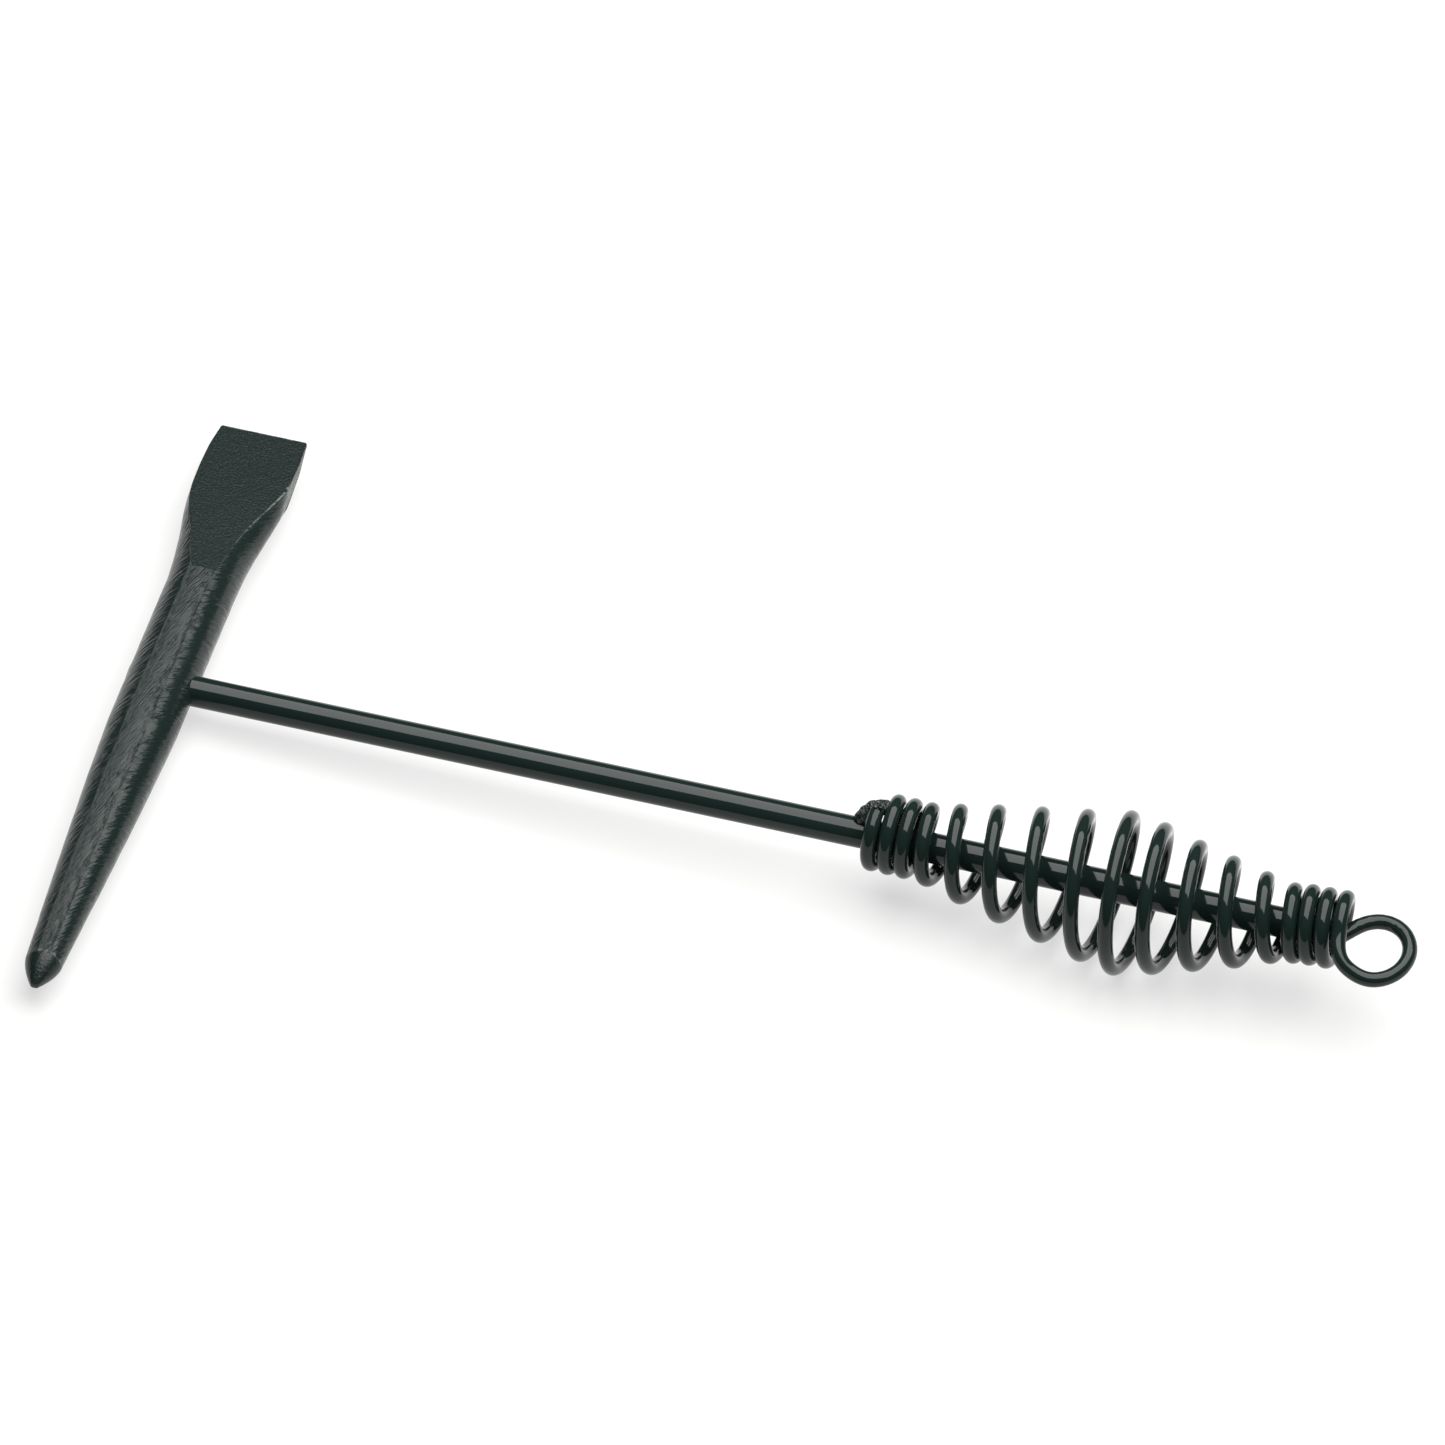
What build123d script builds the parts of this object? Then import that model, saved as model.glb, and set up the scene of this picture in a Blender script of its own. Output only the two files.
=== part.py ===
from build123d import *
import math
import os

import numpy as np

# A welder's chipping hammer: a forged head with a chisel and a pick, a round
# bar handle welded into the head's drilled eye, and a wire spring grip welded
# onto the bar, whose rear end is bent round into a ring to hang it by.
#
# Millimetres. The model is first built about the centre of the head's eye,
# with the bar along +X and the chisel towards +Y, and is then laid down on
# its side as it rests on a bench, with +Z up.

# head, along its own axis from the eye
HEAD_LEAN = 2.4          # degrees the chisel leans towards the grip
EYE_RADIUS = 4.0         # drilled eye, filled by the bar
BODY_RADIUS = 9.1
BODY_END = 33.0          # the round body ends and the neck spreads
# neck ellipses: distance from the eye, sideways shift, half width, half height
NECK = [
    (33.0, 0.0, 9.1, 9.1),
    (39.5, -0.2, 9.4, 8.9),
    (47.0, -0.3, 10.2, 8.6),
    (55.0, -0.4, 11.4, 8.8),
    (61.5, -0.3, 12.15, 10.0),
    (66.6, -0.25, 12.3, 13.0),
]
# blade outline: distance from the eye, left side, right side
BLADE = [
    (66.6, -12.5, 12.0),
    (72.5, -12.55, 11.85),
    (79.0, -12.6, 11.75),
    (83.5, -12.2, 11.3),
    (87.4, -11.9, 11.0),
]
# the two faces of the wedge: distance from the eye, half thickness
WEDGE = [(30.9, 9.1), (87.4, 0.5)]
# pick sections: distance from the eye, radius
PICK = [(-17.0, 9.1), (-36.0, 8.35), (-60.0, 7.1), (-80.0, 5.95), (-97.5, 4.85)]
POINT_END = -106.0       # tip of the ground point
POINT_RADIUS = 0.9       # blunt tip
POINT_FACETS = 4

# bar handle
BAR_RADIUS = 4.0
BAR_START = -5.5         # inside the eye, short of the head's far side
BAR_END = 309.0          # inside the last turns of the spring

# spring grip: right-handed, of round wire
WIRE_RADIUS = 2.0
CLOCK = 39.0             # degrees from +Y towards +Z at which every turn is counted
WIRE_START = 0.13        # turns; the wire starts in the front weld
WIRE_LEAVES = 16.27      # turns; the wire leaves the spring for the ring
# axial place at the start of a few turns: tight coils, open turns, tight coils
TURN_STARTS = [0, 1, 2, 3, 4, 5, 6, 7, 8, 9, 10, 11, 12, 13, 14, 15, 17]
TURN_PLACES = [189.3, 193.6, 198.0, 202.2, 209.6, 219.4, 230.7, 242.5, 253.9,
               262.6, 272.5, 281.9, 291.4, 299.3, 303.6, 308.0, 317.2]
# centre-line radius: two plain ends and a double cone between them
CONE_TURNS = [0.0, 3.3, 8.35, 12.75, 17.0]
CONE_RADII = [8.5, 8.5, 19.9, 8.5, 8.5]
# the coils hang off the bar's axis by this much at the ends, along CLOCK
OFFSET_TURNS = [0.0, 3.0, 7.0, 9.5, 12.0, 14.0, 17.0]
OFFSETS = [1.35, 1.1, -0.6, -1.4, -0.3, 0.9, 1.3]
# the side of a turn opposite CLOCK is this much further along the bar: hand winding
SKEW_TURNS = [0.0, 3.0, 5.0, 7.0, 8.6, 10.5, 12.0, 14.0, 17.0]
SKEWS = [-1.7, -1.6, -0.2, -0.2, -1.6, -0.4, 1.0, 0.3, 0.0]
CORNER = 0.35            # turns over which the corners of those lists are rounded
POINTS_PER_TURN = 12
WIRE_STRETCHES = 34      # about half a turn each

# hanging ring, bent from the spring's own wire
RING_CENTRE = (323.0, -2.75)
RING_RADII = (8.6, 9.75)
RING_SPREAD = 0.16       # how much wider the ring starts than it is at its level part
RING_FROM = 226.0        # degrees about +Z, where the wire has come down from the spring
RING_TO = 516.0          # degrees, where the tail goes into the last turns
RING_DROP = (3.4, 0.0)   # height at the ring's start and at its level part
RING_LEVEL = 285.0       # degrees at which the ring is level
RING_STEP = 24.0         # degrees between points of the ring

# welds
# lumps of the front bead: along the bar, out from its axis, degrees past CLOCK, radius
FRONT_WELD_LUMPS = [(185.6, 4.0, 34, 2.5), (187.5, 5.5, 30, 2.9), (189.6, 7.2, 27, 2.9)]
RING_WELD_PLACE = (310.8, 0.9, -0.5)
RING_WELD_RADIUS = 4.1
EYE_WELD_CROWN = 0.15

# how it lies on a bench: the spring's belly and the head carry it
TILT = -2.81             # degrees about Y, the grip end raised by the belly


def head_point(distance):
    """Centre of the head's section at a distance along its axis."""
    lean = math.radians(HEAD_LEAN)
    return Vector(distance * math.sin(lean), distance * math.cos(lean), 0)


def across(centre):
    """Plane across the head at a point, with the bar's direction as its X."""
    return Plane(origin=centre, x_dir=(1, 0, 0), z_dir=(0, 1, 0))


def neck_section(distance, shift, half_width, half_height):
    return across(head_point(distance) + Vector(shift, 0, 0)) * Ellipse(half_width, half_height)


def pick_section(distance, radius):
    return across(head_point(distance)) * Circle(radius)


def ground_point():
    """The pick's end: a blunt cone ground to flats."""
    start, radius = PICK[-1]
    cone = loft([pick_section(start, radius), pick_section(POINT_END, POINT_RADIUS)])
    ends = [(start, radius * 1.02), (POINT_END, POINT_RADIUS * 0.85)]
    large, small = [across(head_point(place)) * RegularPolygon(size, POINT_FACETS, major_radius=False)
                    for place, size in ends]
    return cone & loft([large, small], ruled=True)


def blade():
    """The chisel's flat part: its outline carried right through the head's thickness."""
    left = [head_point(row[0]) + Vector(row[1], 0, 0) for row in BLADE]
    right = [head_point(row[0]) + Vector(row[2], 0, 0) for row in BLADE]
    return extrude(make_face(Polyline(*left, *reversed(right), close=True)), BODY_RADIUS, both=True)


def wedge():
    """Everything between the two wedge faces, from past the pick's tip to the cutting edge."""
    (start, thick), (end, thin) = WEDGE
    slope = (thick - thin) / (end - start)
    far = POINT_END - 5
    past = thin + slope * (end - far)
    outline = make_face(Polyline((far, past), (end, thin), (end, -thin), (far, -past), close=True))
    return extrude(Plane.YZ * outline, 4 * BODY_RADIUS, both=True)


def head():
    body = loft([pick_section(PICK[0][0], BODY_RADIUS), pick_section(BODY_END, BODY_RADIUS)])
    pick = loft([pick_section(*row) for row in PICK])
    neck = loft([neck_section(*row) for row in NECK])
    blank = body + pick + ground_point() + neck + blade()
    eye = Plane.YZ * Cylinder(EYE_RADIUS, 4 * BODY_RADIUS)
    return (blank & wedge()) - eye


def handle_rod():
    length = BAR_END - BAR_START
    bar = Cylinder(BAR_RADIUS, length, align=(Align.CENTER, Align.CENTER, Align.MIN))
    bar = chamfer(bar.faces().sort_by(Axis.Z)[-1].edges(), 0.6)
    return Plane(origin=(BAR_START, 0, 0), z_dir=(1, 0, 0)) * bar


def eye_weld():
    """Plug weld that fills the eye on the head's far side, with a low crown."""
    plug = Plane(origin=(BAR_START, 0, 0), z_dir=(-1, 0, 0)) * Cylinder(
        EYE_RADIUS, 2 * BODY_RADIUS, align=(Align.CENTER, Align.CENTER, Align.MIN))
    crown = loft([pick_section(-2 * EYE_RADIUS, BODY_RADIUS + EYE_WELD_CROWN),
                  pick_section(2 * EYE_RADIUS, BODY_RADIUS + EYE_WELD_CROWN)])
    return plug & crown


def blended(turn, turns, values):
    """Value at a turn, with the corners between straight stretches rounded."""
    nearby = turn + np.linspace(-CORNER, CORNER, 9)
    return float(np.mean(np.interp(nearby, turns, values)))


def spring_point(turn):
    angle = math.radians(CLOCK + 360 * turn)
    clock = math.radians(CLOCK)
    radius = blended(turn, CONE_TURNS, CONE_RADII)
    offset = blended(turn, OFFSET_TURNS, OFFSETS)
    skew = blended(turn, SKEW_TURNS, SKEWS) * (1 - math.cos(2 * math.pi * turn)) / 2
    return Vector(blended(turn, TURN_STARTS, TURN_PLACES) + skew,
                  offset * math.cos(clock) + radius * math.cos(angle),
                  offset * math.sin(clock) + radius * math.sin(angle))


def ring_point(degrees):
    angle = math.radians(degrees)
    down = min(1.0, (degrees - RING_FROM) / (RING_LEVEL - RING_FROM))
    ease = 1 - (1 - down) ** 2
    height = RING_DROP[0] + (RING_DROP[1] - RING_DROP[0]) * ease
    spread = 1 + RING_SPREAD * (1 - ease)
    return Vector(RING_CENTRE[0] + RING_RADII[0] * spread * math.cos(angle),
                  RING_CENTRE[1] + RING_RADII[1] * spread * math.sin(angle), height)


def wire_path():
    steps = round((WIRE_LEAVES - WIRE_START) * POINTS_PER_TURN)
    spring = [spring_point(t) for t in np.linspace(WIRE_START, WIRE_LEAVES, steps + 1)]
    count = round((RING_TO - RING_FROM) / RING_STEP)
    ring = [ring_point(a) for a in np.linspace(RING_FROM, RING_TO, count + 1)]
    return Spline(*spring, *ring)


def wire_length(path, start, end):
    """The wire along one short stretch of its path, from a fraction to another."""
    stretch = path.trim(start, end)
    section = Plane(origin=stretch @ 0, z_dir=stretch % 0) * Circle(WIRE_RADIUS)
    return sweep(section, path=stretch)


def wire_stretches():
    path = wire_path()
    cuts = np.linspace(0, 1, WIRE_STRETCHES + 1)
    return [wire_length(path, float(a), float(b)) for a, b in zip(cuts, cuts[1:])]


def cut_by(weld, neighbours):
    """The weld's largest solid once its neighbours are taken out of it."""
    for neighbour in neighbours:
        weld = (weld - neighbour).solids().sort_by(SortBy.VOLUME)[-1]
    return weld


def front_weld(neighbours):
    """Bead that runs from the bar up onto the first turn of the wire."""
    lumps = [Rot(X=CLOCK + past) * Pos(along, out, 0) * Rot(X=90, Y=90) * Sphere(radius)
             for along, out, past, radius in FRONT_WELD_LUMPS]
    return cut_by(lumps[0].fuse(*lumps[1:]), neighbours)


def ring_weld(neighbours):
    """Weld inside the last turns that holds the ring's tail to the bar's end."""
    return cut_by(Pos(*RING_WELD_PLACE) * Sphere(RING_WELD_RADIUS), neighbours)


def laid_down(parts):
    """Lay the hammer on its side with its box's bottom centre at the origin."""
    turned = {name: Rot(Y=TILT) * shape for name, shape in parts.items()}
    boxes = [shape.bounding_box() for shape in turned.values()]
    low_x, low_y, low_z = (min(getattr(box.min, axis) for box in boxes) for axis in "XYZ")
    high_x, high_y = (max(getattr(box.max, axis) for box in boxes) for axis in "XY")
    down = Pos(-(low_x + high_x) / 2, -(low_y + high_y) / 2, -low_z)
    print("eye centre in the lying frame:", down.position)
    for name in ("head", "spring_grip"):
        print(name, "lowest point above the bench:", (down * turned[name]).bounding_box().min.Z)
    return {name: down * shape for name, shape in turned.items()}


def main():
    bar = handle_rod()
    wires = wire_stretches()
    parts = {
        "head": head(),
        "handle_rod": bar,
        "spring_grip": wires[0].fuse(*wires[1:]),
        "eye_weld": eye_weld(),
        "front_weld": front_weld([bar] + wires[:3]),
        "loop_weld": ring_weld([bar] + wires[-6:]),
    }
    os.makedirs("parts", exist_ok=True)
    for name, shape in laid_down(parts).items():
        export_step(shape, f"parts/{name}.step")


main()
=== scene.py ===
import math

import bpy
import numpy as np
from mathutils import Matrix, Vector


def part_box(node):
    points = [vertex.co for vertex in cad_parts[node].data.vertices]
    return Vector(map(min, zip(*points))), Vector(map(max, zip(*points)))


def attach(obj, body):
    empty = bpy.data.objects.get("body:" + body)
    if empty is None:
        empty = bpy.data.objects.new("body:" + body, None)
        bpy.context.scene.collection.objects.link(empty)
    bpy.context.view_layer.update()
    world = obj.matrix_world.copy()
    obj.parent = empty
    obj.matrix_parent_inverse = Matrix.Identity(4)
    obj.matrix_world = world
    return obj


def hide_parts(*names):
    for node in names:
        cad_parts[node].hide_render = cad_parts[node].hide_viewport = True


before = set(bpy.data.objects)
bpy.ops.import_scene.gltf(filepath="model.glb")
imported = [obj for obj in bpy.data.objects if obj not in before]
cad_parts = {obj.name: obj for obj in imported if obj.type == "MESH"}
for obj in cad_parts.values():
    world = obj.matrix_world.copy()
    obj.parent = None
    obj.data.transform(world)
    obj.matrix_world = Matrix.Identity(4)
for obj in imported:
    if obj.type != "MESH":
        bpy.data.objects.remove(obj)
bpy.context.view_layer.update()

# ---------------------------------------------------------------- how the hammer lies
# Each piece is worked out in millimetres about the centre of the head's eye, with the
# bar along X, the chisel towards Y and Z square to both. The hammer lies on its side on
# a bench with the grip raised on the spring's belly, so its own X rises by TILT.
TILT = math.radians(2.81)
BAR_RADIUS = 4.0
BAR_START = -5.5
BAR_END = 309.0
BAR_CHAMFER = 0.6
MM = 0.001

bar_low, bar_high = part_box("handle_rod")
eye = Vector((
    bar_low[0] - (BAR_START * math.cos(TILT) - BAR_RADIUS * math.sin(TILT)) * MM,
    (bar_low[1] + bar_high[1]) / 2,
    bar_high[2] - ((BAR_END - BAR_CHAMFER) * math.sin(TILT) + BAR_RADIUS * math.cos(TILT)) * MM,
))
lying = Matrix.Translation(eye) @ Matrix.Rotation(-TILT, 4, "Y")


def lay_down(points):
    """Bench metres of points in hammer millimetres: scaled, tilted and moved to the eye."""
    turn = np.array(lying.to_3x3())
    return np.asarray(points) * MM @ turn.T + np.array(eye)


# ---------------------------------------------------------------- camera and light
# A camera without perspective looks down on the bench, a little from the grip's side. One
# broad soft box hangs nearly overhead, so the enamel mirrors it as a band with clean
# edges, the dim room below it, and the pale bench below that.
CAMERA_TURN = math.radians(15.5)
CAMERA_RISE = math.radians(50.0)
CAMERA_FAR = 700.0            # mm from the middle of the view
VIEW_WIDTH = 369.4            # mm across the view at the hammer
VIEW_CENTRE = (143.5, -9.8)   # mm right of the eye and up from it

away = Vector((
    math.sin(CAMERA_TURN) * math.cos(CAMERA_RISE),
    -math.cos(CAMERA_TURN) * math.cos(CAMERA_RISE),
    math.sin(CAMERA_RISE),
))
right = Vector((math.cos(CAMERA_TURN), math.sin(CAMERA_TURN), 0))
up = away.cross(right)
place = right * VIEW_CENTRE[0] + up * VIEW_CENTRE[1] + away * CAMERA_FAR
camera_data = bpy.data.cameras.new("camera")
camera_data.type = "ORTHO"
camera_data.ortho_scale = VIEW_WIDTH * MM
camera = bpy.data.objects.new("camera", camera_data)
facing = Matrix((right, up, away)).transposed().to_4x4()
camera.matrix_world = lying @ Matrix.Translation(place * MM) @ facing
bpy.context.scene.collection.objects.link(camera)
bpy.context.scene.camera = camera
bpy.context.scene.view_settings.view_transform = "Standard"

BOX_AIM = Vector((0.0985, 0.235, 0.967)).normalized()
BOX_FAR = 1.0                 # m from the middle of the bench
BOX_SIZE = (1.35, 1.3)        # m
BOX_POWER = 27.0              # W
ENAMEL_IOR = 1.36             # low, so the bench is mirrored weakly on the lower sides
box_data = bpy.data.lights.new("overhead_soft_box", "AREA")
box_data.shape = "RECTANGLE"
box_data.size, box_data.size_y = BOX_SIZE
box_data.energy = BOX_POWER
soft_box = bpy.data.objects.new("overhead_soft_box", box_data)
box_across = Vector((0, 1, 0)).cross(BOX_AIM).normalized()
box_facing = Matrix((box_across, BOX_AIM.cross(box_across), BOX_AIM)).transposed().to_4x4()
soft_box.matrix_world = Matrix.Translation(BOX_AIM * BOX_FAR) @ box_facing
bpy.context.scene.collection.objects.link(soft_box)


def linear(code):
    """Linear red, green, blue and full alpha of one sRGB hex colour."""
    parts = [int(code[i:i + 2], 16) / 255 for i in (1, 3, 5)]
    return [p / 12.92 if p <= 0.04045 else ((p + 0.055) / 1.055) ** 2.4 for p in parts] + [1.0]


def add(tree, kind, inputs, **settings):
    """Adds a node, sets its properties, and fills or links its inputs by name or number."""
    node = tree.nodes.new(kind)
    for key, value in settings.items():
        setattr(node, key, value)
    for key, value in inputs.items():
        if isinstance(value, bpy.types.NodeSocket):
            tree.links.new(value, node.inputs[key])
        else:
            node.inputs[key].default_value = value
    return node


def new_material(name):
    """Material with an empty tree and its output node."""
    made = bpy.data.materials.new(name)
    made.use_nodes = True
    made.node_tree.nodes.clear()
    return made, made.node_tree, made.node_tree.nodes.new("ShaderNodeOutputMaterial")


def gloss(tree, output, base, roughness, bump):
    """Enamel shader over a bump, with its colour and roughness as values or as sockets."""
    coated = add(tree, "ShaderNodeBsdfPrincipled", {
        "Base Color": base, "Roughness": roughness, "Normal": bump.outputs[0], "IOR": ENAMEL_IOR})
    tree.links.new(coated.outputs[0], output.inputs["Surface"])


# The room is dim where the enamel mirrors it, and as pale as the bench behind the hammer.
world = bpy.data.worlds.new("dim_studio")
world.use_nodes = True
studio = world.node_tree
rays = add(studio, "ShaderNodeLightPath", {})
backdrop = add(studio, "ShaderNodeBackground", {"Color": linear("#ffffff"), "Strength": 1.0})
seen = add(studio, "ShaderNodeMixShader", {0: rays.outputs["Is Camera Ray"], 2: backdrop.outputs[0]})
room = studio.nodes["Background"]
room.inputs["Color"].default_value = linear("#34383a")
room.inputs["Strength"].default_value = 1.0
studio.links.new(room.outputs[0], seen.inputs[1])
studio.links.new(seen.outputs[0], studio.nodes["World Output"].inputs["Surface"])
bpy.context.scene.world = world

BENCH = 3.0                   # m, half the bench's width
bench_mesh = bpy.data.meshes.new("bench")
bench_mesh.from_pydata(
    [(-BENCH, -BENCH, 0), (BENCH, -BENCH, 0), (BENCH, BENCH, 0), (-BENCH, BENCH, 0)], [], [(0, 1, 2, 3)])
bench = bpy.data.objects.new("bench", bench_mesh)
bpy.context.scene.collection.objects.link(bench)
paper, tree, output = new_material("white_paper")
paper_skin = add(tree, "ShaderNodeBsdfDiffuse", {"Color": linear("#9a9a98")})
lit_from_below = add(tree, "ShaderNodeEmission", {"Color": linear("#ffffff"), "Strength": 0.6})
both = add(tree, "ShaderNodeAddShader", {0: paper_skin.outputs[0], 1: lit_from_below.outputs[0]})
tree.links.new(both.outputs[0], output.inputs["Surface"])
bench_mesh.materials.append(paper)


# ---------------------------------------------------------------- head
# One forging: a round body drilled for the bar, drawn out to a pick with a ground
# point, and spread to a chisel whose two wedge faces are ground flat. Gloss enamel over
# dressed steel, so fine slanting dressing strokes show through on the round parts.
LEAN = math.tan(math.radians(2.4))
# place along the head, left side, right side: the forging's outline seen from above
OUTLINE = np.array([
    (-97.5, -4.85, 4.85), (-80, -5.95, 5.95), (-60, -7.1, 7.1), (-36, -8.35, 8.35), (-17, -9.1, 9.1),
    (33, -9.1, 9.1), (39.5, -9.6, 9.2), (43.3, -10.05, 9.45), (47.2, -10.5, 9.9), (51, -11.15, 10.5),
    (55, -11.85, 11.0), (58.9, -12.3, 11.55), (62.8, -12.5, 12.0), (67.6, -12.5, 11.95), (72, -12.55, 11.85),
    (79, -12.6, 11.75), (83.5, -12.2, 11.3), (87, -11.8, 11.0)])
# place, left ridge, right ridge: where the wedge faces meet the flanks
RIDGES = np.array([
    (33, -2.6, 3.6), (36.5, -3.8, 4.5), (40, -5.0, 4.9), (43.3, -6.2, 5.3), (47.4, -7.7, 6.0),
    (51.1, -9.0, 6.8), (55, -10.3, 8.0), (59.2, -11.4, 9.4), (63, -12.0, 10.6), (67.7, -12.3, 11.8),
    (72, -12.5, 11.8), (87, -12.5, 11.8)])
# place, height of the round blank that the wedge faces are cut from
BLANK = np.array([(-30, 9.1), (48, 9.1), (58, 12), (64, 30), (87, 40)])
WEDGE_START = 33.4            # where the wedge faces leave the round body, with a small step
WEDGE_HALF = 8.75             # half thickness there
EDGE_PLACE = 87.3
EDGE_HALF = 0.48
EDGE_ROUND = 0.35             # the cutting edge is dulled, and its two corners are rounded
CORNER_ROUND = 0.9
TONGUE = 0.36                 # narrowest and widest strip on top, as shares of the half width
WIDEST = 0.994
POINT_START = -97.5
POINT_TIP = -105.9
POINT_RADII = (4.85, 0.9)
POINT_FLATS = (4.95, 0.77)    # distance from the axis to the four ground flats, both ends
BLUNT_FROM = 0.93             # share of the point's taper where its blunt end begins
STRIP, FLANK = 60, 44         # faces across each strip and each flank


def follow(table, column, where, ease):
    """Value along a given list of corners, with each corner eased over some millimetres."""
    nearby = np.asarray(where)[..., None] + np.linspace(-ease, ease, 11)
    return np.interp(nearby, table[:, 0], table[:, column]).mean(-1)


def waves(points, length, count, seed):
    """Smooth random field: many sine waves of about one length, in random directions."""
    rng = np.random.default_rng(seed)
    ways = rng.normal(size=(count, 3))
    ways *= (2 * math.pi / (length * rng.uniform(0.7, 1.5, count)) / np.linalg.norm(ways, axis=1))[:, None]
    phases = rng.uniform(0, 2 * math.pi, count)
    total = sum(np.sin(points @ way + phase) for way, phase in zip(ways, phases))
    return total / math.sqrt(count / 2)


def skin(name, rows, around, along, material):
    """Closed skin over a stack of rings, with a fan to a middle point at each end.

    rows holds the points as (ring, place round the ring, xyz) in hammer millimetres. The
    UV map holds millimetres round the ring and along the stack, so patterns keep their size.
    """
    rings, sides = rows.shape[:2]
    caps = np.stack([rows[0].mean(0), rows[-1].mean(0)])
    points = np.concatenate([rows.reshape(-1, 3), caps])
    ring, side = np.meshgrid(np.arange(rings - 1), np.arange(sides), indexing="ij")
    next_side = (side + 1) % sides
    quads = np.stack([ring * sides + side, ring * sides + next_side,
                      (ring + 1) * sides + next_side, (ring + 1) * sides + side], -1).reshape(-1, 4)
    one = np.arange(sides)
    two = (one + 1) % sides
    last = (rings - 1) * sides
    first_fan = np.stack([two, one, np.full(sides, rings * sides)], -1)
    last_fan = np.stack([last + one, last + two, np.full(sides, rings * sides + 1)], -1)
    mesh = bpy.data.meshes.new(name)
    mesh.from_pydata(lay_down(points).tolist(), [],
                     quads.tolist() + first_fan.tolist() + last_fan.tolist())
    step = around / sides
    u = np.stack([side, side + 1, side + 1, side], -1) * step
    v = np.stack([along[ring], along[ring], along[ring + 1], along[ring + 1]], -1)
    fan_u = np.stack([one + 1, one, one + 0.5], -1) * step
    uv = [np.stack([u, v], -1).reshape(-1, 2),
          np.stack([fan_u, np.full(fan_u.shape, along[0])], -1).reshape(-1, 2),
          np.stack([fan_u[:, [1, 0, 2]], np.full(fan_u.shape, along[-1])], -1).reshape(-1, 2)]
    layer = mesh.uv_layers.new(name="surface_mm")
    layer.data.foreach_set("uv", np.concatenate(uv).ravel())
    mesh.polygons.foreach_set("use_smooth", np.ones(len(mesh.polygons), bool))
    mesh.materials.append(material)
    mesh.update()
    piece = bpy.data.objects.new(name, mesh)
    bpy.context.scene.collection.objects.link(piece)
    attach(piece, "root")
    return piece


def head_rows(where):
    """Rings across the head, and how much of each point lies on a ground wedge face.

    Each ring is a strip on top, a flank, a strip below and a flank. A flank is the part of
    an ellipse that reaches the outline at mid height and the ridge at its two ends. The
    strips take the lower of the round blank and the wedge face, which falls evenly.
    """
    y = where[:, None]
    slope = (WEDGE_HALF - EDGE_HALF) / (EDGE_PLACE - WEDGE_START)
    step = np.clip((WEDGE_START - y) / 0.5, 0, 1) ** 2
    dull = np.clip((y - EDGE_PLACE + EDGE_ROUND) / EDGE_ROUND, 0, 1)
    face = WEDGE_HALF - slope * (y - WEDGE_START) + step - 0.3 * (1 - np.sqrt(1 - dull ** 2))
    blank = follow(BLANK, 1, y, 1.5)
    corner_in = np.clip((y - EDGE_PLACE + CORNER_ROUND) / CORNER_ROUND, 0, 1)
    strips, flanks = [], []
    grid = np.linspace(0, 1, STRIP // 2 + 1)[None, :]
    grid = 0.5 * grid + 0.5 * np.sin(grid * math.pi / 2)
    f = np.linspace(1, -1, FLANK + 1)[None, :]
    f = 0.6 * f + 0.4 * np.sin(f * math.pi / 2)
    for column in (1, 2):
        wide = np.abs(follow(OUTLINE, column, y, 1.6))
        wide = wide - CORNER_ROUND * (1 - np.sqrt(1 - corner_in ** 2))
        cut = np.abs(follow(RIDGES, column, y, 0.8))
        cut = np.clip(cut, TONGUE * wide, WIDEST * wide)
        high = np.where(y < 20, wide, blank)
        ridge = np.where(y < WEDGE_START - 6, TONGUE * wide, cut)
        strip_x = ridge * grid
        dome = high * np.sqrt(1 - (strip_x / wide) ** 2)
        strip_z = np.minimum(dome, face)
        strips.append((strip_x, strip_z, np.clip((dome - face) / 0.05, 0, 1)))
        corner = np.arccos(ridge / wide)
        flanks.append((wide * np.cos(corner * f), strip_z[:, -1:] * np.sin(corner * f) / np.sin(corner)))
    (left_x, left_z, left_cut), (right_x, right_z, right_cut) = strips
    (left_flank_x, left_flank_z), (right_flank_x, right_flank_z) = flanks
    strip_x = np.concatenate([-left_x[:, :0:-1], right_x], 1)
    strip_z = np.concatenate([left_z[:, :0:-1], right_z], 1)
    cut = np.concatenate([left_cut[:, :0:-1], right_cut], 1)
    x = np.concatenate([strip_x[:, :-1], right_flank_x[:, :-1],
                        strip_x[:, :0:-1], -left_flank_x[:, :0:-1]], 1)
    z = np.concatenate([strip_z[:, :-1], right_flank_z[:, :-1],
                        -strip_z[:, :0:-1], left_flank_z[:, :0:-1]], 1)
    none = np.zeros((len(where), FLANK))
    on_face = np.concatenate([cut[:, :-1], none, cut[:, :0:-1], none], 1)
    return np.stack([x + y * LEAN, np.broadcast_to(y, x.shape), z], -1), on_face


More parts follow.
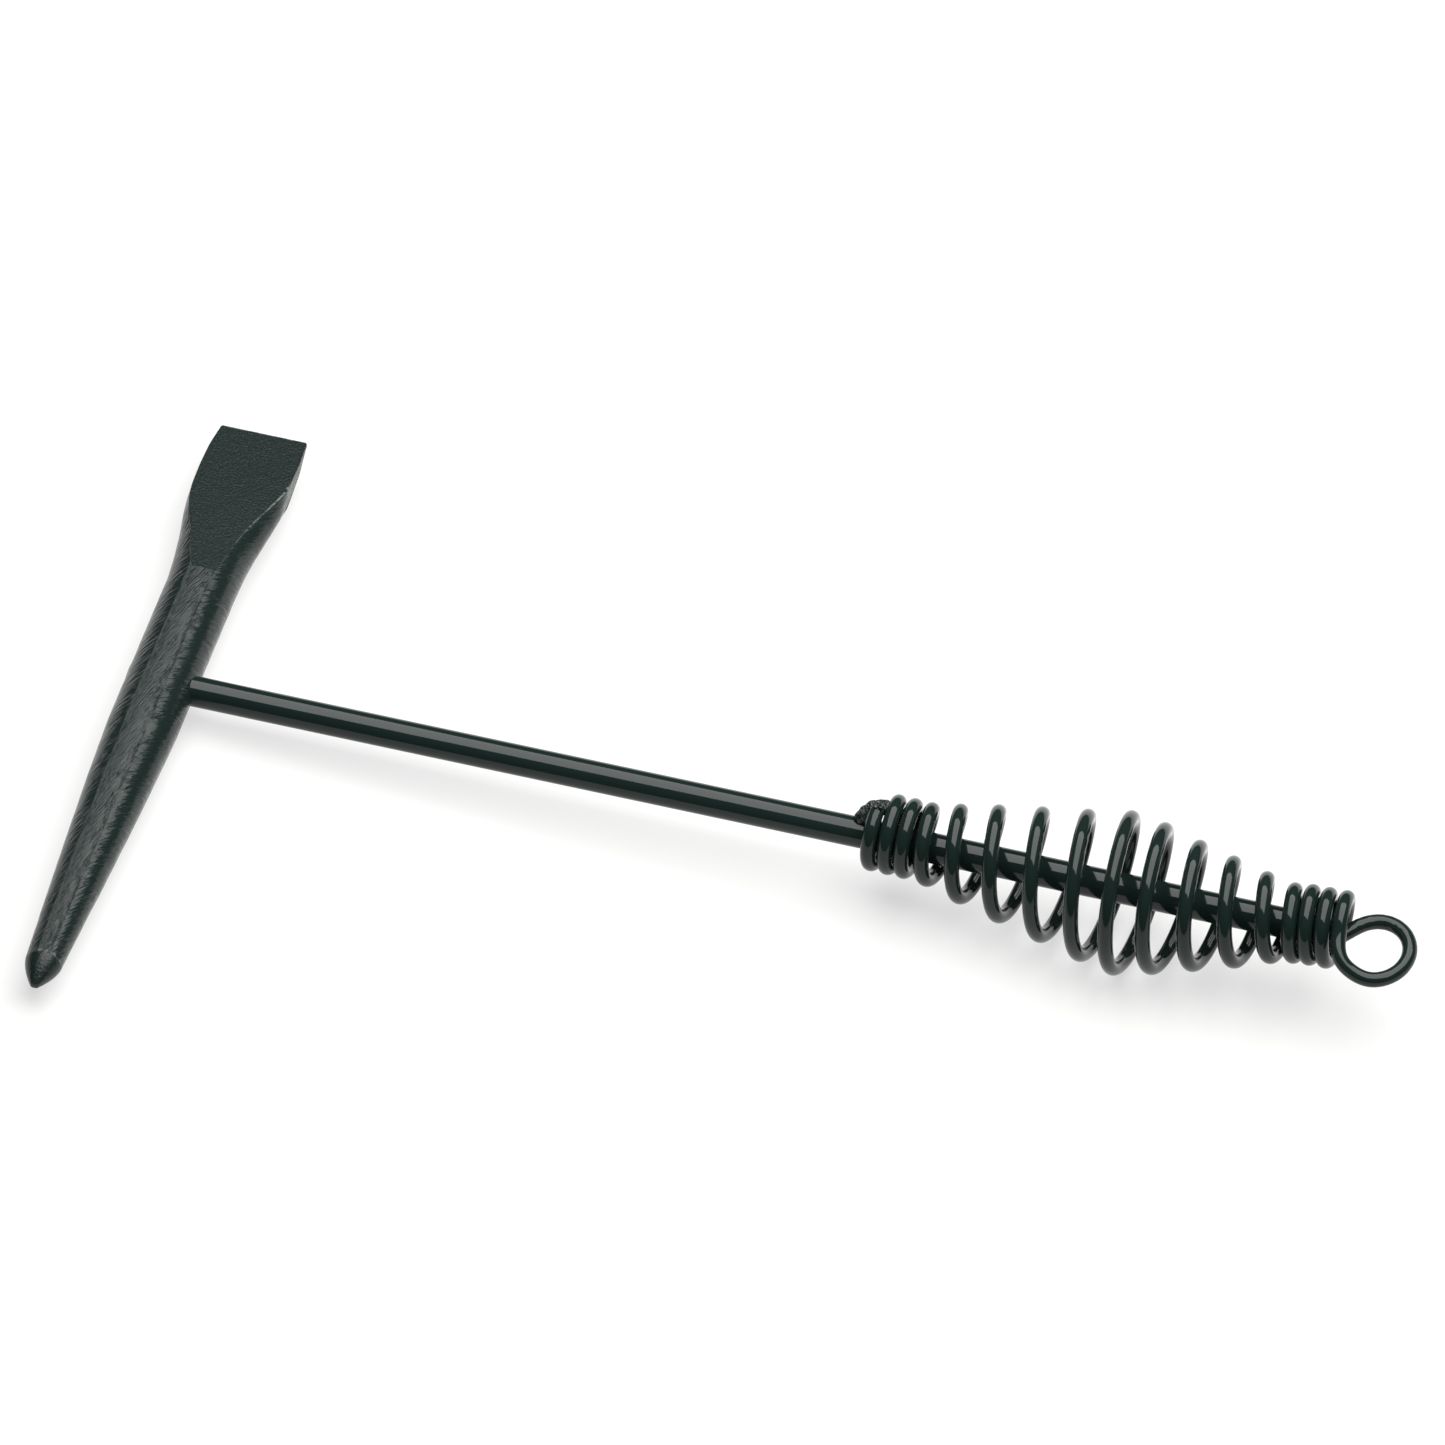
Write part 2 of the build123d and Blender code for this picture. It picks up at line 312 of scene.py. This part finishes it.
def grind_point(rows):
    """Draws the pick's last stretch to a blunt cone with four flats ground on it."""
    where = rows[:, :1, 1]
    done = np.clip((where - POINT_START) / (POINT_TIP - POINT_START), 0, 1) ** 1.5
    cone = POINT_RADII[0] + (POINT_RADII[1] - POINT_RADII[0]) * done
    flat = POINT_FLATS[0] + (POINT_FLATS[1] - POINT_FLATS[0]) * done
    blunt = np.clip((done - BLUNT_FROM) / (1 - BLUNT_FROM), 0, 1)
    round_off = np.sqrt(np.clip(1 - blunt ** 2, 0, 1)) * 0.85 + 0.15
    x = rows[..., 0] - where * LEAN
    angle = np.arctan2(rows[..., 2], x)
    off = (angle + math.pi / 4) % (math.pi / 2) - math.pi / 4
    reach = np.minimum(cone, flat / np.cos(off)) * np.where(done > BLUNT_FROM, round_off, 1)
    reach = np.where(where < POINT_START, reach, np.hypot(x, rows[..., 2]))
    made = np.stack([reach * np.cos(angle) + where * LEAN, rows[..., 1], reach * np.sin(angle)], -1)
    return np.where((where < POINT_START)[..., None], made, rows)


places = np.concatenate([
    np.linspace(POINT_TIP, POINT_START, 40)[:-1],
    np.linspace(POINT_START, 28, 230)[:-1],
    np.linspace(28, 32.5, 16)[:-1],
    np.linspace(32.5, 34, 20)[:-1],
    np.linspace(34, 64, 80)[:-1],
    np.linspace(64, 70, 24)[:-1],
    np.linspace(70, EDGE_PLACE - 1, 40)[:-1],
    EDGE_PLACE - np.cos(np.linspace(0, math.pi / 2, 16)),
])
rows, on_face = head_rows(places)
rows = grind_point(rows)
on_face = np.where(places[:, None] < POINT_START - 0.3, 1.0, on_face)
# painted highlight: thin lines of light grey base colour along the right ridge, the cutting edge and the
# point's border
painted_ridge_highlight = np.zeros_like(on_face)
ridge_side = np.arange(STRIP - 2, STRIP + 1)
painted_ridge_highlight[:, ridge_side] = np.clip((places[:, None] - 38) / 24, 0, 1) * np.clip((72 - places[:, None]) / 3, 0, 1)
painted_ridge_highlight = np.maximum(painted_ridge_highlight, places[:, None] > EDGE_PLACE - 0.5)
painted_ridge_highlight = np.maximum(painted_ridge_highlight, 0.8 * np.exp(-((places[:, None] - POINT_START) / 0.35) ** 2))
painted_ridge_highlight = 0.6 * painted_ridge_highlight * np.clip(0.4 + 0.7 * waves(rows, 1.6, 16, 14), 0, 1)
# hand dressing: the round parts wander by a few hundredths, the ground faces hardly
forge = 0.035 * waves(rows, 22, 12, 4) + 0.02 * waves(rows, 9, 16, 5)
centre = np.stack([rows[:, :1, 1] * LEAN, rows[:, :1, 1], np.zeros_like(rows[:, :1, 1])], -1)
outward = rows - centre
outward /= np.maximum(np.linalg.norm(outward, axis=-1, keepdims=True), 1e-6)
fade = (np.clip((EDGE_PLACE - rows[..., 1]) / 6, 0, 1) * np.clip((rows[..., 1] - POINT_TIP) / 5, 0, 1)
        * (1 - 0.7 * on_face))
rows = rows - outward * (np.abs(forge) * fade)[..., None]

head_enamel, tree, output = new_material("gloss_enamel_over_dressed_steel")
uv = add(tree, "ShaderNodeUVMap", {}, uv_map="surface_mm")
face_mask = add(tree, "ShaderNodeAttribute", {}, attribute_name="ground_face")
# where the painted highlight lines go
highlight_lines_mask = add(tree, "ShaderNodeAttribute", {}, attribute_name="painted_highlight_lines")
place_node = add(tree, "ShaderNodeTexCoord", {})
# dressing strokes, about 4 mm long and 0.7 mm wide, slanting 38 degrees, deeper in patches
slant = add(tree, "ShaderNodeMapping", {"Vector": uv.outputs[0], "Rotation": (0, 0, math.radians(38))})
stretch = add(tree, "ShaderNodeMapping", {"Vector": slant.outputs[0], "Scale": (1.5, 0.26, 1.0)})
strokes = add(tree, "ShaderNodeTexNoise",
              {"Vector": stretch.outputs[0], "Scale": 1.0, "Detail": 1.5, "Roughness": 0.6})
patchy = add(tree, "ShaderNodeTexNoise", {"Vector": uv.outputs[0], "Scale": 0.22, "Detail": 1.0})
patch_gain = add(tree, "ShaderNodeMapRange", {
    "Value": patchy.outputs[0], "From Min": 0.35, "From Max": 0.65, "To Min": 0.35, "To Max": 1.0})
about_zero = add(tree, "ShaderNodeMath", {0: strokes.outputs[0], 1: 0.5}, operation="SUBTRACT")
stroke_height = add(tree, "ShaderNodeMath", {0: about_zero.outputs[0], 1: patch_gain.outputs[0]},
                    operation="MULTIPLY")
# fine grain of the ground faces, under a millimetre
grain = add(tree, "ShaderNodeTexNoise",
            {"Vector": place_node.outputs["Object"], "Scale": 1500.0, "Detail": 3.0})
face_height = add(tree, "ShaderNodeMath", {0: grain.outputs[0], 1: 0.3}, operation="MULTIPLY")
height = add(tree, "ShaderNodeMix", {"Factor": face_mask.outputs["Fac"], 2: stroke_height.outputs[0],
                                     3: face_height.outputs[0]})
bump = add(tree, "ShaderNodeBump", {"Height": height.outputs[0], "Strength": 1.0, "Distance": 0.0005})
tint = add(tree, "ShaderNodeMix", {"Factor": face_mask.outputs["Fac"], 6: linear("#182321"),
                                   7: linear("#16211f")}, data_type="RGBA")
# painted highlight: light grey base colour mixed in as thin lines along the right ridge, the cutting edge
# and the point's border
enamel_with_painted_highlights = add(tree, "ShaderNodeMix", {"Factor": highlight_lines_mask.outputs["Fac"], 6: tint.outputs[2],
                                   7: linear("#7c8884")}, data_type="RGBA")
matt = add(tree, "ShaderNodeMapRange", {"Value": face_mask.outputs["Fac"], "To Min": 0.22, "To Max": 0.3})
gloss(tree, output, enamel_with_painted_highlights.outputs[2], matt.outputs[0], bump)

head = skin("forged_head", rows, 57.0, places, head_enamel)
for layer_name, values in (("ground_face", on_face), ("painted_highlight_lines", painted_ridge_highlight)):
    layer = head.data.attributes.new(layer_name, "FLOAT", "POINT")
    layer.data.foreach_set("value", np.concatenate([values.ravel(), [values[0, 0], values[-1, 0]]]))
head.data.set_sharp_from_angle(angle=math.radians(24))
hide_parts("head")


# ---------------------------------------------------------------- handle bar
# Cold drawn 8 mm round steel bar, cut square with a small chamfer at the grip end and
# welded into the eye at the other, under the same gloss enamel, which lies smoother here.
BAR_SIDES = 96
bar_places = np.concatenate([
    [BAR_START, BAR_START + 0.01], np.linspace(BAR_START + 1, BAR_END - BAR_CHAMFER, 160),
    [BAR_END - BAR_CHAMFER + 0.01, BAR_END]])
bar_reach = np.full(len(bar_places), BAR_RADIUS)
bar_reach[-1] = BAR_RADIUS - BAR_CHAMFER
round_angle = np.linspace(0, 2 * math.pi, BAR_SIDES, endpoint=False)
rows = np.stack([np.broadcast_to(bar_places[:, None], (len(bar_places), BAR_SIDES)),
                 bar_reach[:, None] * np.cos(round_angle), bar_reach[:, None] * np.sin(round_angle)], -1)


def flowed_enamel(name, base, roughness, waviness, depth):
    """Smooth gloss enamel that ran a little along the piece: waviness is cycles per mm."""
    material, tree, output = new_material(name)
    uv = add(tree, "ShaderNodeUVMap", {}, uv_map="surface_mm")
    flow = add(tree, "ShaderNodeMapping", {"Vector": uv.outputs[0], "Scale": (*waviness, 1.0)})
    ripple = add(tree, "ShaderNodeTexNoise", {"Vector": flow.outputs[0], "Scale": 1.0, "Detail": 1.0})
    bump = add(tree, "ShaderNodeBump", {"Height": ripple.outputs[0], "Strength": 1.0, "Distance": depth})
    gloss(tree, output, linear(base), roughness, bump)
    return material


bar_enamel = flowed_enamel("gloss_enamel_on_drawn_bar", "#172321", 0.07, (0.35, 0.06), 0.00002)

bar = skin("handle_bar", rows, 25.1, bar_places, bar_enamel)
bar.data.set_sharp_from_angle(angle=math.radians(30))
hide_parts("handle_rod")


# ---------------------------------------------------------------- spring grip and ring
# One length of 4 mm steel wire: tight turns, open turns that swell to a barrel, tight
# turns, then its rear end bent round into the hanging ring, whose tail is tucked in
# behind the last turn. Enamelled with the rest.
WIRE_RADIUS = 2.0
WIRE_RINGS, WIRE_SIDES = 2600, 36
CLOCK = 39.0                  # degrees from Y towards Z where every turn is counted
WIRE_START = 0.16             # turn where the wire begins, inside the front weld
WIRE_LEAVES = 16.27           # turn where it leaves the spring for the ring
# turn, then what holds there: place along the bar, radius, shift of the turn's centre,
# and how far the turn's far side leans along the bar
PLACES = np.array([
    (0, 189.3), (1, 193.6), (2, 198.0), (3, 202.2), (4, 209.6), (5, 219.4), (6, 230.7), (7, 242.5),
    (8, 253.9), (9, 262.6), (10, 272.5), (11, 281.9), (12, 291.4), (13, 299.3), (14, 303.6), (15, 308.0),
    (17, 317.2)])
CONE = np.array([(0, 8.5), (3.3, 8.5), (8.35, 19.9), (12.75, 8.5), (17, 8.5)])
OFFSETS = np.array([(0, 1.35), (3, 1.1), (7, -0.6), (9.5, -1.4), (12, -0.3), (14, 0.9), (17, 1.3)])
SKEWS = np.array([(0, -1.7), (3, -1.6), (5, -0.2), (7, -0.2), (8.6, -1.6), (10.5, -0.4), (12, 1.0),
                  (14, 0.3), (17, 0.0)])
CORNER = 0.35                 # turns over which each change is eased
RING_CENTRE = (323.0, -2.75)
RING_RADII = (8.6, 9.75)
RING_SPREAD = 0.16            # how much wider the ring is where the wire comes in
RING_FROM, RING_LEVEL, RING_TO = 226.0, 285.0, 532.0   # degrees round the ring
RING_RISE = 3.4               # how far above the ring's level the wire comes in
TUCK_FROM = 490.0             # degrees
TUCK = (2.8, 0.9)             # how far the tail's end turns in along the bar and down


def spring_points(turn):
    """Centre line of the spring: a helix whose radius, pitch, offset and skew follow given lists."""
    angle = np.radians(CLOCK + 360 * turn)
    clock = math.radians(CLOCK)
    radius = follow(CONE, 1, turn, CORNER)
    offset = follow(OFFSETS, 1, turn, CORNER)
    skew = follow(SKEWS, 1, turn, CORNER) * (1 - np.cos(2 * math.pi * turn)) / 2
    return np.stack([follow(PLACES, 1, turn, CORNER) + skew,
                     offset * math.cos(clock) + radius * np.cos(angle),
                     offset * math.sin(clock) + radius * np.sin(angle)], -1)


def ring_points(degrees):
    """Centre line of the ring: an oval that comes down, runs level, and is tucked in at its end."""
    angle = np.radians(degrees)
    still = (1 - np.clip((degrees - RING_FROM) / (RING_LEVEL - RING_FROM), 0, 1)) ** 2
    spread = 1 + RING_SPREAD * still
    tucked = np.clip((degrees - TUCK_FROM) / (RING_TO - TUCK_FROM), 0, 1) ** 2
    return np.stack([RING_CENTRE[0] + RING_RADII[0] * spread * np.cos(angle) - TUCK[0] * tucked,
                     RING_CENTRE[1] + RING_RADII[1] * spread * np.sin(angle),
                     RING_RISE * still - TUCK[1] * tucked], -1)


def smooth_line(points, count):
    """Natural cubic spline through points, by distance along them, read at even steps."""
    at = np.concatenate([[0], np.cumsum(np.linalg.norm(np.diff(points, axis=0), axis=1))])
    h = np.diff(at)
    n = len(at)
    system = np.eye(n)
    rhs = np.zeros((n, points.shape[1]))
    inner = np.arange(1, n - 1)
    system[inner, inner - 1] = h[:-1]
    system[inner, inner] = 2 * (h[:-1] + h[1:])
    system[inner, inner + 1] = h[1:]
    rise = np.diff(points, axis=0) / h[:, None]
    rhs[1:-1] = 6 * np.diff(rise, axis=0)
    bend = np.linalg.solve(system, rhs)
    where = np.linspace(0, at[-1], count)
    i = np.clip(np.searchsorted(at, where) - 1, 0, n - 2)
    b = ((where - at[i]) / h[i])[:, None]
    a = 1 - b
    curve = ((a ** 3 - a) * bend[i] + (b ** 3 - b) * bend[i + 1]) * (h[i] ** 2)[:, None] / 6
    return a * points[i] + b * points[i + 1] + curve, where


def tube_rows(line, radius, sides):
    """Rings square to a line, turned as little as possible from each to the next."""
    ahead = np.gradient(line, axis=0)
    ahead /= np.linalg.norm(ahead, axis=1, keepdims=True)
    side = np.cross(ahead[0], (0, 0, 1.0))
    sides_out = np.empty_like(line)
    for i, way in enumerate(ahead):
        side = side - way * (side @ way)
        side /= np.linalg.norm(side)
        sides_out[i] = side
    other = np.cross(ahead, sides_out)
    angle = np.linspace(0, 2 * math.pi, sides, endpoint=False)[None, :, None]
    return line[:, None] + radius[..., None] * (
        np.cos(angle) * sides_out[:, None] + np.sin(angle) * other[:, None])


turns = np.linspace(WIRE_START, WIRE_LEAVES, round((WIRE_LEAVES - WIRE_START) * 12) + 1)
ring_degrees = np.linspace(RING_FROM, RING_TO, 13)
line, along = smooth_line(np.concatenate([spring_points(turns), ring_points(ring_degrees)]), WIRE_RINGS)
rows = tube_rows(line, np.full((len(line), 1), WIRE_RADIUS), WIRE_SIDES)
middle = line[:, None]
# weld spatter roughens both ends of the wire, and the bend leaves the rest a hair uneven
near_end = (np.exp(-along / 2.5) + np.exp(-(along[-1] - along) / 14.0))[:, None]
rough = 0.012 * waves(rows, 14, 10, 8) + near_end * 0.06 * waves(rows, 1.5, 24, 9)
rows = middle + (rows - middle) * (1 - np.abs(rough) / WIRE_RADIUS)[..., None]

wire_enamel = flowed_enamel("gloss_enamel_on_wound_wire", "#172320", 0.08, (0.5, 0.12), 0.00003)

wire = skin("spring_wire", rows, 12.6, along, wire_enamel)
wire.data.set_sharp_from_angle(angle=math.radians(40))
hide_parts("spring_grip")


# ---------------------------------------------------------------- front weld
# Bead run from the bar over the start of the wire: five overlapping lumps laid one
# after another, each with the fine ripples of the molten pool, enamelled over.
# place along the bar, distance from its axis, degrees on from CLOCK, radius
LUMPS = [(185.3, 4.4, 34, 2.2), (186.9, 6.5, 38, 2.7), (188.6, 8.4, 40, 2.9), (190.4, 9.2, 36, 2.4),
         (191.7, 9.9, 32, 1.6)]
SOFTNESS = 5.0                # per mm; higher makes the seams between lumps sharper


def blob_rows(lumps, heart, seed, rough):
    """Rings of a closed bead about its heart: the soft maximum of its lumps, less ripples.

    Each lump's reach is the far crossing of a ray from the heart with its sphere. The soft
    maximum is the logarithm of the mean exponential of SOFTNESS times those reaches.
    """
    polar = np.linspace(0.001, math.pi - 0.001, 90)[:, None]
    turn = np.linspace(0, 2 * math.pi, 140, endpoint=False)[None, :]
    way = np.stack([-np.cos(polar) + 0 * turn, np.sin(polar) * np.cos(turn),
                    np.sin(polar) * np.sin(turn)], -1)
    reach = []
    for centre, radius in lumps:
        toward = np.asarray(centre) - heart
        onto = way @ toward
        gap = radius ** 2 - (toward @ toward - onto ** 2)
        reach.append(np.where(gap > 0, onto + np.sqrt(np.clip(gap, 0, None)), 0.05))
    reach = np.log(np.mean(np.exp(np.stack(reach) * SOFTNESS), axis=0) + 1e-9) / SOFTNESS
    points = heart + way * reach[..., None]
    ripple = np.sin((points[..., 0] + points[..., 2]) * 2 * math.pi / 1.3 + waves(points, 2.5, 10, seed))
    wobble = rough * waves(points, 1.2, 24, seed + 1) + rough * ripple
    return heart + way * (reach - np.abs(wobble))[..., None]


weld_enamel, tree, output = new_material("gloss_enamel_over_weld_bead")
place_node = add(tree, "ShaderNodeTexCoord", {})
pits_and_glint_spots = add(tree, "ShaderNodeTexNoise",
           {"Vector": place_node.outputs["Object"], "Scale": 1600.0, "Detail": 3.0})
bump = add(tree, "ShaderNodeBump", {"Height": pits_and_glint_spots.outputs[0], "Strength": 1.0, "Distance": 0.0002})
# painted glints: the highest spots of the same noise get a light grey base colour, standing in for the
# bead's sparkle
painted_glints = add(tree, "ShaderNodeMapRange", {
    "Value": pits_and_glint_spots.outputs[0], "From Min": 0.54, "From Max": 0.7, "To Min": 0.0, "To Max": 0.5})
enamel_with_painted_highlights = add(tree, "ShaderNodeMix", {"Factor": painted_glints.outputs[0], 6: linear("#17201f"),
                                   7: linear("#7f8683")}, data_type="RGBA")
gloss(tree, output, enamel_with_painted_highlights.outputs[2], 0.1, bump)

lumps = []
for along_bar, out, degrees, radius in LUMPS:
    angle = math.radians(CLOCK + degrees)
    lumps.append(((along_bar, out * math.cos(angle), out * math.sin(angle)), radius))
heart = np.mean([centre for centre, radius in lumps], axis=0)
rows = blob_rows(lumps, heart, 21, 0.24)
bead = skin("front_weld_bead", rows, 16.0, np.linspace(0, 10, len(rows)), weld_enamel)
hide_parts("front_weld")


# ---------------------------------------------------------------- ring weld
# One heavy lump between the bar's end, the last turn and the ring's tail, inside the
# spring where it is mostly out of sight.
RING_WELD_HEART = np.array((310.8, 0.9, -0.5))
RING_WELD_RADIUS = 4.1
rows = blob_rows([(RING_WELD_HEART, RING_WELD_RADIUS)], RING_WELD_HEART, 31, 0.16)
ring_bead = skin("ring_weld_bead", rows, 22.0, np.linspace(0, 12, len(rows)), weld_enamel)
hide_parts("loop_weld")


# ---------------------------------------------------------------- eye weld
# Plug weld that fills the eye on the head's far side and holds the bar: a shallow
# rippled crown, dressed almost flush with the round body.
PLUG_RADIUS = 4.0
PLUG_BACK = -5.6              # flat end, 0.1 mm short of the bar's end
CROWN_RADIUS = 9.2
CROWN_RINGS, BACK_RINGS = 40, 12
share = np.concatenate([np.linspace(0.02, 1, CROWN_RINGS), np.linspace(1, 0.02, BACK_RINGS)])[:, None]
turn = np.linspace(0, 2 * math.pi, 96, endpoint=False)[None, :]
y = PLUG_RADIUS * share * np.cos(turn)
z = PLUG_RADIUS * share * np.sin(turn)
crown = -np.sqrt(CROWN_RADIUS ** 2 - z ** 2)
points = np.stack([crown, y, z], -1)
swirl = np.abs(0.05 * waves(points, 2.0, 12, 41) + 0.03 * np.sin(share * 22 + turn))
crown = crown + swirl + 0.35 * share ** 6
x = np.where(np.arange(len(share))[:, None] < CROWN_RINGS, crown, PLUG_BACK)
rows = np.stack([x, y, z], -1)
plug = skin("eye_weld_crown", rows, 25.0, np.linspace(0, 8, len(rows)), weld_enamel)
plug.data.set_sharp_from_angle(angle=math.radians(50))
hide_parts("eye_weld")
